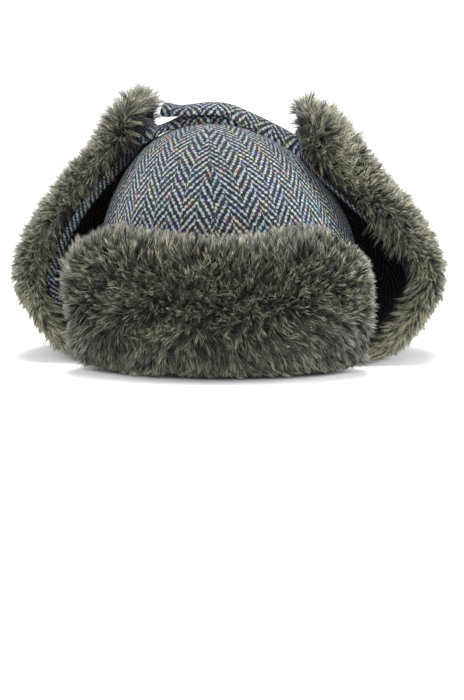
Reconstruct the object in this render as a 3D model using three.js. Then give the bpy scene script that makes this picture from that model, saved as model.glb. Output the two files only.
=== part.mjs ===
// Aviator hat of herringbone tweed: a six-gore crown, with a fur-faced visor and ear-and-neck flaps
// turned up around it, and the two ear straps snapped together over the top.
// Millimetres, +Z up. The front faces -Y and the wearer's left is +X.

import * as THREE from "three";
import { mergeVertices } from "three/addons/utils/BufferGeometryUtils.js";

// Crown, outside sizes: a short wall that swells from the rim to its widest level, then a dome
const RIM_UP = 6;
const RIM_HALF_WIDTH = 86;
const RIM_HALF_DEPTH = 108;
const WIDEST_UP = 60;
const WIDEST_HALF_WIDTH = 91;
const WIDEST_HALF_DEPTH = 112;
const CROWN_TOP_UP = 166;
const CROWN_LEAN = 12; // the straps pull the top towards the wearer's right
const CROWN_WALL = 2.4;
const CROWN_SIDE_SHARE = 0.3; // share of a gore's length that lies on the wall
const SEAM_DIP = 1.4; // how deep the gores turn in along their seams
const SEAM_WIDTH = 6;

// Gores of one half of the crown, from seam to seam in degrees from the front
const GORES = [
  { place: "front", from: 0, to: 60 },
  { place: "side", from: 60, to: 120 },
  { place: "back", from: 120, to: 180 },
];

// Cells of each wall, across and along. The fur's are halves of its cloth's, so that the two keep their gap.
const GORE_CELLS = { across: 7, along: 11 };
const VISOR_CELLS = { cloth: 10, fur: 20, along: 9 };
const FLAP_CELLS = { cloth: 12, fur: 24, along: 12 };

// Cloth, fur and clearances
const CLOTH_WALL = 2;
const GAP = 0.3;
const FLOOR_UP = 3; // level at which the fur under the rim is pressed flat
const FLAP_PILE = 19;
const TIP_PUFF = 0.45; // how much deeper the fur grows towards the tip of an ear
const TIP_START = 0.7; // climb of the ear at which that starts
const VISOR_PILE = 23;
const PILE_BACKING = 0.62; // share of the pile that is filled between the locks
const PILE_EDGE = 0.45; // share of the pile left at a free edge
const EDGE_ROUND = 16; // width of the rounded border of the fur
const LOCK_LEAN = 7; // how far the tip of a lock is combed along the fur
const LEAN_SPAN = 0.25; // climb over which the comb turns from one way to the other
const LOCK_SPLAY = 10; // how far the locks stand out past a front or end edge
const FUR_OVERHANG = 8; // how far the fur stands out past the top edge of its cloth
const LOCK_JITTER = 0.3;

// Front edge of a flap and the stretch where its ear shape turns into its neck shape, degrees from the front
const FLAP_FRONT_RIM = 60;
const FLAP_FRONT_TIP = 74;
const EAR_END = 102;
const NECK_START = 150;
const FLAP_CORNER = 0.1; // share of the ear's climb that its rounded front corner loses
const FLAP_CORNER_SPAN = 0.14;
const FLAP_LENGTH = 250; // from the front edge to the back seam, along the fold
const FRONT_DROOP = 7; // how far the front of an ear sags below its middle
const FRONT_SPAN = 0.22; // share of the flap that sags or curls with its front edge
const FLAP_PARTING = 0.35; // climb at which the flap's fur parts

// The two ears differ: the wearer's left is pulled lower and its tip further in over the crown. The front edge
// of each curls in, which sets in between two climbs.
const LEFT_EAR = { side: 1, drop: 6, tuck: 9, curl: 19, curlClimb: [0.3, 0.8] };
const RIGHT_EAR = { side: -1, drop: 0, tuck: 0, curl: 7, curlClimb: [0.05, 0.4] };

const VISOR_END_RIM = 52; // degrees from the front to the end of the visor, at the rim and at its top
const VISOR_END_TOP = 44;
const VISOR_LENGTH = 220;
const VISOR_CORNER = 0.16;
const VISOR_CORNER_SPAN = 0.2;
const VISOR_SAG = 0.08; // share of its height that the visor's top loses in the middle
const VISOR_SAG_WIDTH = 0.24;
const VISOR_PARTING = 0.6; // climb at which the visor's fur parts
const VISOR_PARTING_DEPTH = 0.22;
const VISOR_PARTING_WIDTH = 0.1;

const STRAP_THICK = 3.2;
const STRAP_Y = -12; // the straps cross just in front of the crown's top
const STRAP_SEAT_GAP = 1.5;
const STRAP_SEAT = [0.87, 0.93, 0.985]; // climbs of the ear along which a strap is sewn to its flap
const STRAP_STEPS = 26;
const STRAP_EDGE = 0.6; // half thickness of a strap at its turned edges
const SNAP_RADIUS = 6;
const SNAP_THICK = 1.2;
const SNAP_X = -13;
const SNAP_LIFT = 4.6;
const SNAP_TILT = 20;

// Sections of the fur side of the cloth from the rim upwards, as half sizes of an oval
const FOLD_UP = 8;
const RIM_SECTION = {
  halfWidth: RIM_HALF_WIDTH + GAP + CLOTH_WALL,
  halfDepth: RIM_HALF_DEPTH + GAP + CLOTH_WALL,
  up: FOLD_UP,
};
const EAR_SECTIONS = [
  RIM_SECTION,
  { halfWidth: 107, halfDepth: 112, up: 17 },
  { halfWidth: 129, halfDepth: 114, up: 41 },
  { halfWidth: 137, halfDepth: 114, up: 63 },
  { halfWidth: 124, halfDepth: 113, up: 92 },
  { halfWidth: 104, halfDepth: 109, up: 120 },
  { halfWidth: 81, halfDepth: 103, up: 145 },
  { halfWidth: 57, halfDepth: 96, up: 168 },
];
const NECK_SECTIONS = [
  RIM_SECTION,
  { halfWidth: 104, halfDepth: 121, up: 14 },
  { halfWidth: 112, halfDepth: 129, up: 32 },
  { halfWidth: 114, halfDepth: 131, up: 48 },
  { halfWidth: 111, halfDepth: 128, up: 68 },
  { halfWidth: 104, halfDepth: 122, up: 84 },
  { halfWidth: 97, halfDepth: 116, up: 96 },
];
const VISOR_SECTIONS = [
  RIM_SECTION,
  { halfWidth: 112, halfDepth: 116, up: 16 },
  { halfWidth: 127, halfDepth: 121, up: 42 },
  { halfWidth: 128, halfDepth: 120, up: 68 },
  { halfWidth: 124, halfDepth: 116, up: 89 },
];

// Lines along a strap: place across its width and half thickness
const STRAP_LINES = [
  { across: -10, half: STRAP_EDGE },
  { across: -8.6, half: STRAP_THICK / 2 },
  { across: 0, half: STRAP_THICK / 2 },
  { across: 8.6, half: STRAP_THICK / 2 },
  { across: 10, half: STRAP_EDGE },
];

// Straps past the tip of their flap: place across the crown, height of the middle over the crown, and the
// degrees that the front edge hangs down
const LOWER_STRAP = [
  { x: -45, lift: 4.4, tilt: 14 },
  { x: -30, lift: 4.4, tilt: 18 },
  { x: SNAP_X, lift: SNAP_LIFT, tilt: SNAP_TILT },
  { x: -2, lift: 4.4, tilt: 21 },
  { x: 9, lift: 4.2, tilt: 22 },
];
const UPPER_STRAP = [
  { x: 39, lift: 6.4, tilt: 29 },
  { x: 29, lift: 5.6, tilt: 31 },
  { x: 17, lift: 6.8, tilt: 26 },
  { x: 2, lift: 9.6, tilt: 22 },
  { x: SNAP_X, lift: SNAP_LIFT + STRAP_THICK + SNAP_THICK + 4 * GAP, tilt: SNAP_TILT },
  { x: -32, lift: 11.4, tilt: 17 },
  { x: -46, lift: 18, tilt: 14 },
];

const radians = THREE.MathUtils.degToRad;
const { lerp, clamp, smoothstep } = THREE.MathUtils;

// Repeatable scatter between -0.5 and 0.5
function scatter(row, column, salt) {
  const wave = Math.sin(row * 12.9898 + column * 78.233 + salt * 37.719) * 43758.5453;
  return wave - Math.floor(wave) - 0.5;
}

// Points by row and column, from 0 up to and including the last of each
function gridOf(lastRow, lastColumn, pointAt) {
  return Array.from({ length: lastRow + 1 }, (_, i) => (
    Array.from({ length: lastColumn + 1 }, (__, j) => pointAt(i, j))
  ));
}

function signedVolume(points, faces) {
  const turn = new THREE.Vector3();
  return faces.reduce((sum, [a, b, c]) => (
    sum + turn.crossVectors(points[b], points[c]).dot(points[a]) / 6
  ), 0);
}

// Geometry of a closed body, with its shared points merged, empty faces dropped and its faces turned out
function closedBody(points, faces) {
  const turned = signedVolume(points, faces) < 0 ? faces.map(([a, b, c]) => [a, c, b]) : faces;
  const loose = new THREE.BufferGeometry().setFromPoints(points);
  loose.setIndex(turned.flat());
  const merged = mergeVertices(loose, 1e-3);
  const index = merged.index.array;
  const kept = [];
  for (let k = 0; k < index.length; k += 3) {
    const [a, b, c] = [index[k], index[k + 1], index[k + 2]];
    if (a !== b && b !== c && c !== a) kept.push(a, b, c);
  }
  merged.setIndex(kept);
  merged.computeVertexNormals();
  return merged;
}

// Wall between an outer and an inner grid. Where tips are given, each outer cell rises to its own tip.
function wallBetween(outer, inner, tips = null) {
  const last = { row: outer.length - 1, column: outer[0].length - 1 };
  const at = (i, j) => i * (last.column + 1) + j;
  const points = [...outer.flat(), ...inner.flat()];
  const under = outer.flat().length;
  const faces = [];
  for (let i = 0; i < last.row; i += 1) {
    for (let j = 0; j < last.column; j += 1) {
      const corners = [at(i, j), at(i + 1, j), at(i + 1, j + 1), at(i, j + 1)];
      const [a, b, c, d] = corners;
      if (tips) {
        const tip = points.push(tips[i][j]) - 1;
        corners.forEach((corner, k) => faces.push([corner, corners[(k + 1) % 4], tip]));
      } else {
        faces.push([a, b, c], [a, c, d]);
      }
      faces.push([under + a, under + c, under + b], [under + a, under + d, under + c]);
    }
  }
  const border = [];
  for (let i = 0; i < last.row; i += 1) border.push(at(i, 0));
  for (let j = 0; j < last.column; j += 1) border.push(at(last.row, j));
  for (let i = last.row; i > 0; i -= 1) border.push(at(i, last.column));
  for (let j = last.column; j > 0; j -= 1) border.push(at(0, j));
  border.forEach((p, k) => {
    const q = border[(k + 1) % border.length];
    faces.push([q, p, under + p], [q, under + p, under + q]);
  });
  return closedBody(points, faces);
}

function pieceOf(name, geometry, finish) {
  const mesh = new THREE.Mesh(geometry, new THREE.MeshStandardMaterial(finish));
  mesh.name = name;
  return mesh;
}

const tweed = { color: 0x4b4f57, roughness: 0.95, metalness: 0 };
const fur = { color: 0x5e574a, roughness: 1, metalness: 0 };
const snapMetal = { color: 0x8d8a84, roughness: 0.4, metalness: 0.9 };

// Crown

function crownLean(up) {
  const share = clamp((up - WIDEST_UP) / (CROWN_TOP_UP - WIDEST_UP), 0, 1);
  return -CROWN_LEAN * share * share;
}

// Half sizes of the crown's oval at a share of the way from the rim to the top, inside by inset
function crownSection(climb, inset) {
  const side = clamp(climb / CROWN_SIDE_SHARE, 0, 1);
  const dome = clamp((climb - CROWN_SIDE_SHARE) / (1 - CROWN_SIDE_SHARE), 0, 1) * Math.PI / 2;
  const swell = Math.sin(side * Math.PI / 2);
  const reach = Math.cos(dome);
  return {
    halfWidth: (lerp(RIM_HALF_WIDTH, WIDEST_HALF_WIDTH, swell) - inset) * reach,
    halfDepth: (lerp(RIM_HALF_DEPTH, WIDEST_HALF_DEPTH, swell) - inset) * reach,
    up: lerp(RIM_UP, WIDEST_UP, side) + (CROWN_TOP_UP - inset - WIDEST_UP) * Math.sin(dome),
    reach,
  };
}

// Shift of a gore along its middle line that leaves half the gap at each of its seams
function goreShift(from, to) {
  const seamWay = (turn) => (
    new THREE.Vector2(Math.sin(turn) * WIDEST_HALF_WIDTH, -Math.cos(turn) * WIDEST_HALF_DEPTH).normalize()
  );
  const middleWay = seamWay(from).add(seamWay(to)).normalize();
  const halfAngle = Math.acos(middleWay.dot(seamWay(from)));
  return middleWay.multiplyScalar(GAP / 2 / Math.sin(halfAngle));
}

// Gore of the crown on the +X side, or mirrored to the other side but for the lean
function crownPanel(gore, side) {
  const { across, along } = GORE_CELLS;
  const [from, to] = [radians(gore.from), radians(gore.to)];
  const shift = goreShift(from, to);
  const pointAt = (turn, climb, inset) => {
    const { up, reach } = crownSection(climb, inset);
    const toSeam = Math.min(turn - from, to - turn) * (WIDEST_HALF_WIDTH + WIDEST_HALF_DEPTH) / 2 * reach;
    const dip = SEAM_DIP * Math.exp(-((toSeam / SEAM_WIDTH) ** 2)) * reach;
    const { halfWidth, halfDepth } = crownSection(climb, inset + dip);
    const x = shift.x + Math.sin(turn) * halfWidth;
    return new THREE.Vector3(crownLean(up) + side * x, shift.y - Math.cos(turn) * halfDepth, up);
  };
  const turnAt = (share) => lerp(from, to, (1 - Math.cos(share * Math.PI)) / 2);
  const face = (inset) => gridOf(across, along, (i, j) => pointAt(turnAt(i / across), j / along, inset));
  return wallBetween(face(0), face(CROWN_WALL));
}

// Height of the dome over a point, found by halving the way up to the top
function crownUp(x, y) {
  let low = CROWN_SIDE_SHARE;
  let high = 1;
  for (let step = 0; step < 40; step += 1) {
    const middle = (low + high) / 2;
    const { halfWidth, halfDepth, up } = crownSection(middle, 0);
    const isInside = ((x - crownLean(up)) / halfWidth) ** 2 + (y / halfDepth) ** 2 < 1;
    if (isInside) low = middle;
    else high = middle;
  }
  return crownSection(low, 0).up;
}

// Flaps and visor: turned-up cloth with fur on its outside

function profileOf(sections) {
  const points = sections.map(({ halfWidth, halfDepth, up }) => new THREE.Vector3(halfWidth, halfDepth, up));
  return new THREE.CatmullRomCurve3(points, false, "catmullrom", 0.5);
}

const earProfile = profileOf(EAR_SECTIONS);
const neckProfile = profileOf(NECK_SECTIONS);
const visorProfile = profileOf(VISOR_SECTIONS);

// Section at a climb, carried on straight past the ends of the profile
function sectionAt(profile, climb) {
  const held = clamp(climb, 0, 1);
  const past = (climb - held) * profile.getLength();
  return profile.getPointAt(held).addScaledVector(profile.getTangentAt(held), past);
}

function onOval(section, turn) {
  return new THREE.Vector3(section.x * Math.sin(turn), -section.y * Math.cos(turn), section.z);
}

// Share of a top edge that a rounded corner leaves, at a distance from the corner as a share of the span
function cornerTop(distance, loss) {
  return 1 - loss * (1 - clamp(distance, 0, 1)) ** 2;
}

// Surface of a flap, on the +X side: u runs from its front edge to the back seam, v from the rim to the top
function flapSurface(pose) {
  return (u, v) => {
    const climb = v * cornerTop(u / FLAP_CORNER_SPAN, FLAP_CORNER);
    const front = lerp(FLAP_FRONT_RIM, FLAP_FRONT_TIP, climb * (2 - climb));
    const turn = lerp(front, 180, u);
    const ear = earShare(turn);
    const frontShare = (1 - clamp(u / FRONT_SPAN, 0, 1)) ** 2;
    const section = sectionAt(neckProfile, climb).lerp(sectionAt(earProfile, climb), ear);
    section.x -= pose.tuck * ear * climb * climb;
    section.x -= pose.curl * frontShare * smoothstep(climb, ...pose.curlClimb) * (1 - climb ** 8);
    section.z -= (pose.drop * ear + FRONT_DROOP * frontShare) * climb * climb;
    return onOval(section, radians(turn));
  };
}

function visorSurface(u, v) {
  const fromEnd = Math.min(u, 1 - u);
  const sag = VISOR_SAG * Math.exp(-(((u - 0.5) / VISOR_SAG_WIDTH) ** 2));
  const climb = v * cornerTop(fromEnd / VISOR_CORNER_SPAN, VISOR_CORNER) * (1 - sag);
  const end = lerp(VISOR_END_RIM, VISOR_END_TOP, climb * (2 - climb));
  return onOval(sectionAt(visorProfile, climb), radians(lerp(-end, end, u)));
}

// Point at a distance from a surface, outwards when positive
function offsetPoint(surface, u, v, distance) {
  const step = 1e-3;
  const across = surface(u + step, v).sub(surface(u - step, v));
  const along = surface(u, v + step).sub(surface(u, v - step));
  return surface(u, v).addScaledVector(across.cross(along).normalize(), distance);
}

// Share of the full pile at a distance from a free edge, rounded over like a roll
function roundOver(distance) {
  const inward = 1 - clamp(distance / EDGE_ROUND, 0, 1);
  return lerp(PILE_EDGE, 1, Math.sqrt(1 - inward * inward));
}

// Cloth wall on the inside of a surface
function clothWall(surface, { cloth: rows, along: columns }, place) {
  const face = (distance) => gridOf(rows, columns, (i, j) => (
    place(offsetPoint(surface, i / rows, j / columns, distance))
  ));
  return wallBetween(face(0), face(-CLOTH_WALL));
}

// Fur on the outside of a surface: a filled backing whose every cell rises to a combed lock. It follows the
// cloth's own grid and has one more column past the top edge.
function furBody(surface, { fur: rows, along: columns }, coat, place) {
  const climbAt = (u, j) => Math.min(j / columns, 1) + (j > columns ? FUR_OVERHANG / coat.lengthAt(u) : 0);
  const flattened = (point) => {
    point.z = Math.max(point.z, FLOOR_UP);
    return place(point);
  };
  const skin = gridOf(rows, columns + 1, (i, j) => (
    place(offsetPoint(surface, i / rows, climbAt(i / rows, j), GAP))
  ));
  const backing = gridOf(rows, columns + 1, (i, j) => {
    const u = i / rows;
    const v = climbAt(u, j);
    return flattened(offsetPoint(surface, u, v, GAP + PILE_BACKING * coat.pileAt(u, v)));
  });
  const tips = gridOf(rows - 1, columns, (i, j) => {
    const u = (i + 0.5 + LOCK_JITTER * scatter(i, j, 1)) / rows;
    const v = lerp(climbAt(u, j), climbAt(u, j + 1), 0.5 + LOCK_JITTER * scatter(i, j, 2));
    const comb = coat.combAt(u, v);
    const height = GAP + coat.pileAt(u, v) * (1 + LOCK_JITTER * scatter(i, j, 3) / 2);
    return flattened(offsetPoint(surface, u + comb.u, v + comb.v, height));
  });
  return wallBetween(backing, skin, tips);
}

// Share of a flap's section that is ear rather than neck
function earShare(turn) {
  return 1 - smoothstep(turn, EAR_END, NECK_START);
}

// A flap's fur is combed towards its ends, splayed past its front edge and deepest at the ear's tip
const flapCoat = {
  lengthAt(u) {
    return lerp(neckProfile.getLength(), earProfile.getLength(), earShare(lerp(FLAP_FRONT_RIM, 180, u)));
  },
  pileAt(u, v) {
    const tip = smoothstep(v, TIP_START, 1) * earShare(lerp(FLAP_FRONT_RIM, 180, u));
    const pile = FLAP_PILE * (1 + TIP_PUFF * tip);
    return pile * roundOver(u * FLAP_LENGTH) * roundOver(v * flapCoat.lengthAt(u));
  },
  combAt(u, v) {
    const length = flapCoat.lengthAt(u);
    const front = 1 - clamp(u * FLAP_LENGTH / EDGE_ROUND, 0, 1);
    const ends = clamp(v * length / EDGE_ROUND, 0, 1) * clamp((1 - v) * length / EDGE_ROUND, 0, 1);
    const lean = LOCK_LEAN * clamp((v - FLAP_PARTING) / LEAN_SPAN, -1, 1) * ends;
    return { u: -LOCK_SPLAY * front * ends / FLAP_LENGTH, v: lean / length };
  },
};

// The visor's fur runs up and down from its parting, and out past its ends
const visorCoat = {
  lengthAt() {
    return visorProfile.getLength();
  },
  pileAt(u, v) {
    const length = visorCoat.lengthAt();
    const parting = Math.exp(-(((v - VISOR_PARTING) / VISOR_PARTING_WIDTH) ** 2));
    const pile = VISOR_PILE * (1 - VISOR_PARTING_DEPTH * parting);
    const free = Math.min(Math.min(u, 1 - u) * VISOR_LENGTH, (1 - v) * length);
    return pile * roundOver(free) * roundOver(v * length);
  },
  combAt(u, v) {
    const length = visorCoat.lengthAt();
    const rim = clamp(v * length / EDGE_ROUND, 0, 1);
    const lean = LOCK_LEAN * clamp((v - VISOR_PARTING) / LEAN_SPAN, -1, 1) * rim;
    const end = 1 - clamp(Math.min(u, 1 - u) * VISOR_LENGTH / EDGE_ROUND, 0, 1);
    return { u: LOCK_SPLAY * Math.sign(u - 0.5) * end * rim / VISOR_LENGTH, v: lean / length };
  },
};

// Straps

function strapUp({ x, lift }) {
  return crownUp(x, STRAP_Y) + lift;
}

// Point of a strap where it is sewn to the inside of its flap's tip
function seatPoint(surface, side, climb, across, depth) {
  const turnsPerLength = 1 / (radians(180 - FLAP_FRONT_TIP) * sectionAt(earProfile, climb).y);
  const middle = (90 - FLAP_FRONT_TIP) / (180 - FLAP_FRONT_TIP);
  const u = middle + (STRAP_Y + across) * turnsPerLength;
  const inside = CLOTH_WALL + STRAP_SEAT_GAP + STRAP_THICK / 2 - depth;
  const point = offsetPoint(surface, u, climb, -inside);
  return new THREE.Vector3(side * point.x, point.y, point.z);
}

// Point of a strap where it crosses the crown
function ridgePoint(station, across, depth) {
  const tilt = radians(station.tilt);
  const y = STRAP_Y + across * Math.cos(tilt) - depth * Math.sin(tilt);
  return new THREE.Vector3(station.x, y, strapUp(station) + across * Math.sin(tilt) + depth * Math.cos(tilt));
}

function strapBody(ear, stations) {
  const surface = flapSurface(ear);
  const face = (way) => STRAP_LINES.map(({ across, half }) => new THREE.CatmullRomCurve3([
    ...STRAP_SEAT.map((climb) => seatPoint(surface, ear.side, climb, across, way * half)),
    ...stations.map((station) => ridgePoint(station, across, way * half)),
  ]).getSpacedPoints(STRAP_STEPS));
  return wallBetween(face(1), face(-1));
}

function snapDisc() {
  const disc = new THREE.CylinderGeometry(SNAP_RADIUS, SNAP_RADIUS, SNAP_THICK, 16);
  disc.rotateX(Math.PI / 2 + radians(SNAP_TILT));
  return disc;
}

// Assembly

const hat = new THREE.Group();

for (const gore of GORES) {
  for (const [hand, side] of [["left", 1], ["right", -1]]) {
    hat.add(pieceOf(`crown_panel_${gore.place}_${hand}`, crownPanel(gore, side), tweed));
  }
}

const asMade = (point) => point;
hat.add(pieceOf("visor_shell", clothWall(visorSurface, VISOR_CELLS, asMade), tweed));
hat.add(pieceOf("visor_fur", furBody(visorSurface, VISOR_CELLS, visorCoat, asMade), fur));

// Each flap ends on the back seam, so its last points lie in the plane beside the seam's gap
for (const [hand, ear, stations] of [["left", LEFT_EAR, UPPER_STRAP], ["right", RIGHT_EAR, LOWER_STRAP]]) {
  const surface = flapSurface(ear);
  const place = (point) => new THREE.Vector3(ear.side * Math.max(point.x, GAP / 2), point.y, point.z);
  hat.add(pieceOf(`flap_shell_${hand}`, clothWall(surface, FLAP_CELLS, place), tweed));
  hat.add(pieceOf(`flap_fur_${hand}`, furBody(surface, FLAP_CELLS, flapCoat, place), fur));
  hat.add(pieceOf(`strap_${hand}`, strapBody(ear, stations), tweed));
}

const snap = pieceOf("strap_snap", snapDisc(), snapMetal);
const snapUp = strapUp({ x: SNAP_X, lift: SNAP_LIFT }) + (STRAP_THICK + SNAP_THICK) / 2 + 2 * GAP;
snap.position.set(SNAP_X, STRAP_Y, snapUp);
hat.add(snap);

// The origin is the middle of the hat on the surface that it rests on
const box = new THREE.Box3().setFromObject(hat);
const middle = box.getCenter(new THREE.Vector3());
hat.position.set(-middle.x, -middle.y, -box.min.z);

const aviatorHat = new THREE.Group();
aviatorHat.add(hat);

export default aviatorHat;
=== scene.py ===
import math
import bmesh
import bpy
import numpy as np
from mathutils import Matrix, Vector
from mathutils.kdtree import KDTree


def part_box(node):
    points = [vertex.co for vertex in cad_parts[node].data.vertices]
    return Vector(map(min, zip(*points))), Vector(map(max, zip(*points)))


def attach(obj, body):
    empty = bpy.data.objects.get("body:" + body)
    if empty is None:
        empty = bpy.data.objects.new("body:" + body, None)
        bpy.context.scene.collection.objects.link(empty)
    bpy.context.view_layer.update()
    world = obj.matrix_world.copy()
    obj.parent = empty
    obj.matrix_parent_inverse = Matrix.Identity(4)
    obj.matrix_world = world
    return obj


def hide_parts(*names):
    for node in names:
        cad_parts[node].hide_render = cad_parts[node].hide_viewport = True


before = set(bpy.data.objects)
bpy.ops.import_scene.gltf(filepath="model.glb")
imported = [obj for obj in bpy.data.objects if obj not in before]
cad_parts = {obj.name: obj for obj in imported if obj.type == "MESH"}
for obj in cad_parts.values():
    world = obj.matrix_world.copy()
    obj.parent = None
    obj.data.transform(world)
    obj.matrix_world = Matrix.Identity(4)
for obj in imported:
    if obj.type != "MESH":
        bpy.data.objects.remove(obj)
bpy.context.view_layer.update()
mm = 0.001

# Camera at the photograph's angle, sizes in millimetres
shot = dict(target=(2, 0, 2), distance=1000, farthest=50000, azimuth=4, elevation=7.5, lens=72, sensor=36)


def placeCamera():
    turn, rise = math.radians(shot["azimuth"]), math.radians(shot["elevation"])
    away = Vector((math.sin(turn) * math.cos(rise), -math.cos(turn) * math.cos(rise), math.sin(rise)))
    target = Vector(shot["target"]) * mm
    lens = bpy.data.cameras.new("camera")
    lens.sensor_fit = "VERTICAL"
    lens.sensor_height = shot["sensor"]
    lens.lens = shot["lens"]
    lens.clip_end = shot["farthest"] * mm
    camera = bpy.data.objects.new("camera", lens)
    camera.location = target + away * shot["distance"] * mm
    camera.rotation_euler = (-away).to_track_quat("-Z", "Y").to_euler()
    bpy.context.collection.objects.link(camera)
    bpy.context.scene.camera = camera


placeCamera()
print("camera placed")


# The crown's own sizes set where everything else sits, in millimetres, with cutStep in metres of cloth
crown = dict(
    rimUp=6, rimHalfWidth=86, rimHalfDepth=108, widestUp=60, widestHalfWidth=91, widestHalfDepth=112,
    topUp=166, lean=12, wall=2.4, sideShare=0.3, seamDip=1.2, seamWidth=3.5, seamGap=0.02,
    goreTurn=60, cells=(16, 30), ripple=0.7, rippleCycles=3, seed=20, cutStep=(0.7, 0.31), cutShare=0.62,
)
gores = [
    dict(name=f"crown_panel_{place}_{hand}", side=side, start=order * crown["goreTurn"])
    for order, place in enumerate(("front", "side", "back"))
    for hand, side in (("left", 1), ("right", -1))
]
crownLow = Vector(np.min([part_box(gore["name"])[0] for gore in gores], axis=0))
crownHigh = Vector(np.max([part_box(gore["name"])[1] for gore in gores], axis=0))
hatBase = np.array([0, (crownLow.y + crownHigh.y) / 2, crownLow.z - crown["rimUp"] * mm])


def smoothstep(x, low, high):
    share = np.clip((x - low) / (high - low), 0, 1)
    return share * share * (3 - 2 * share)


def lerp(a, b, share):
    return a + (b - a) * share


def unit(vectors):
    return vectors / np.maximum(np.linalg.norm(vectors, axis=-1, keepdims=True), 1e-12)


# Slow waves over a piece, between about -1 and 1
def waves(u, v, seed, cycles, count=6, slowest=0.4, level=3):
    rng = np.random.default_rng(seed)
    total = np.zeros_like(u)
    for _ in range(count):
        fu, fv = rng.uniform(slowest, 1, 2) * cycles * rng.choice([-1, 1], 2)
        total = total + np.sin(2 * math.pi * (fu * u + fv * v) + rng.uniform(0, 2 * math.pi))
    return total / level


# Material nodes

def nodeAt(tree, kind, **values):
    node = tree.nodes.new(kind)
    for key, value in values.items():
        setattr(node, key, value)
    return node


def feed(tree, sockets, values):
    for socket, value in zip(sockets, values):
        if isinstance(value, bpy.types.NodeSocket):
            tree.links.new(value, socket)
        else:
            socket.default_value = value


def mathNode(tree, operation, *inputs):
    node = nodeAt(tree, "ShaderNodeMath", operation=operation)
    feed(tree, node.inputs, inputs)
    return node.outputs[0]


def mixColour(tree, share, first, second, blend="MIX"):
    node = nodeAt(tree, "ShaderNodeMix", data_type="RGBA", blend_type=blend)
    feed(tree, (node.inputs[0], node.inputs[6], node.inputs[7]), (share, first, second))  # 6, 7: colours
    return node.outputs[2]


def softMask(tree, value, low, high):
    node = nodeAt(tree, "ShaderNodeMapRange", interpolation_type="SMOOTHSTEP")
    tree.links.new(value, node.inputs["Value"])
    node.inputs["From Min"].default_value = low
    node.inputs["From Max"].default_value = high
    return node.outputs["Result"]


def noiseNode(tree, place, scale, detail=2, roughness=0.5):
    node = nodeAt(tree, "ShaderNodeTexNoise")
    node.inputs["Scale"].default_value = scale
    node.inputs["Detail"].default_value = detail
    node.inputs["Roughness"].default_value = roughness
    tree.links.new(place, node.inputs["Vector"])
    return node.outputs["Fac"]


def srgb(red, green, blue):
    def linear(x):
        x /= 255
        return x / 12.92 if x <= 0.04045 else ((x + 0.055) / 1.055) ** 2.4
    return (linear(red), linear(green), linear(blue), 1)


def rampNode(tree, value, stops, interpolation="LINEAR"):
    node = nodeAt(tree, "ShaderNodeValToRGB")
    node.color_ramp.interpolation = interpolation
    elements = node.color_ramp.elements
    while len(elements) < len(stops):
        elements.new(0.5)
    for element, (place, colour) in zip(elements, stops):
        element.position = place
        element.color = colour
    tree.links.new(value, node.inputs["Fac"])
    return node.outputs["Color"]


sharedFinish = dict(specular=0.25, sheenRoughness=0.45)


def newMaterial(name, roughness, sheen):
    material = bpy.data.materials.new(name)
    material.use_nodes = True
    tree = material.node_tree
    shader = tree.nodes["Principled BSDF"]
    shader.inputs["Roughness"].default_value = roughness
    shader.inputs["Specular IOR Level"].default_value = sharedFinish["specular"]
    shader.inputs["Sheen Weight"].default_value = sheen
    shader.inputs["Sheen Roughness"].default_value = sharedFinish["sheenRoughness"]
    return material, tree, shader


def bumpInto(tree, shader, height, strength, distance):
    bump = nodeAt(tree, "ShaderNodeBump")
    bump.inputs["Strength"].default_value = strength
    bump.inputs["Distance"].default_value = distance
    tree.links.new(height, bump.inputs["Height"])
    tree.links.new(bump.outputs["Normal"], shader.inputs["Normal"])


# Herringbone: twill lines that turn back at each column. Sizes in millimetres, noise scales per metre.
tweedCloth = dict(
    roughness=0.95, sheen=0.06, sheenTint=(0.86, 0.92, 1, 1), bump=0.55, bumpDepth=0.5,
    column=10.3, pitch=6.8, slope=1.4, pick=2.3, stepped=0.65, crossing=0.42, crossingSpan=(0.2, 0.5),
    wobble=120, wobbleReach=1.9, paleFrom=(0.25, 0.38), fuzz=1500, fuzzLift=0.6,
    slub=420, slubDetail=4, slubRough=0.68, slubLift=0.8, paleSlub=(0.3, 0.62), darkSlub=(0.35, 0.75),
    dye=190, undyed=0.45, paleDye=0.15, darkDye=0.025,
    # The shade tone is painted shade, mixed into the cloth by its shade attribute
    paintedShadeTone=(0.13, 0.13, 0.16, 1), binding=(1.5, 9), bindingSlant=1.9,
    paleYarn=(srgb(74, 84, 88), srgb(158, 168, 169)),
    darkYarn=(srgb(11, 14, 22), srgb(38, 44, 56)),
    dyes=[
        (0.0, srgb(72, 100, 190)), (0.16, srgb(90, 170, 172)), (0.3, srgb(140, 170, 90)),
        (0.44, srgb(214, 128, 84)), (0.58, srgb(218, 194, 104)), (0.72, srgb(140, 112, 190)),
        (0.86, srgb(214, 132, 156)),
    ],
)


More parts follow.
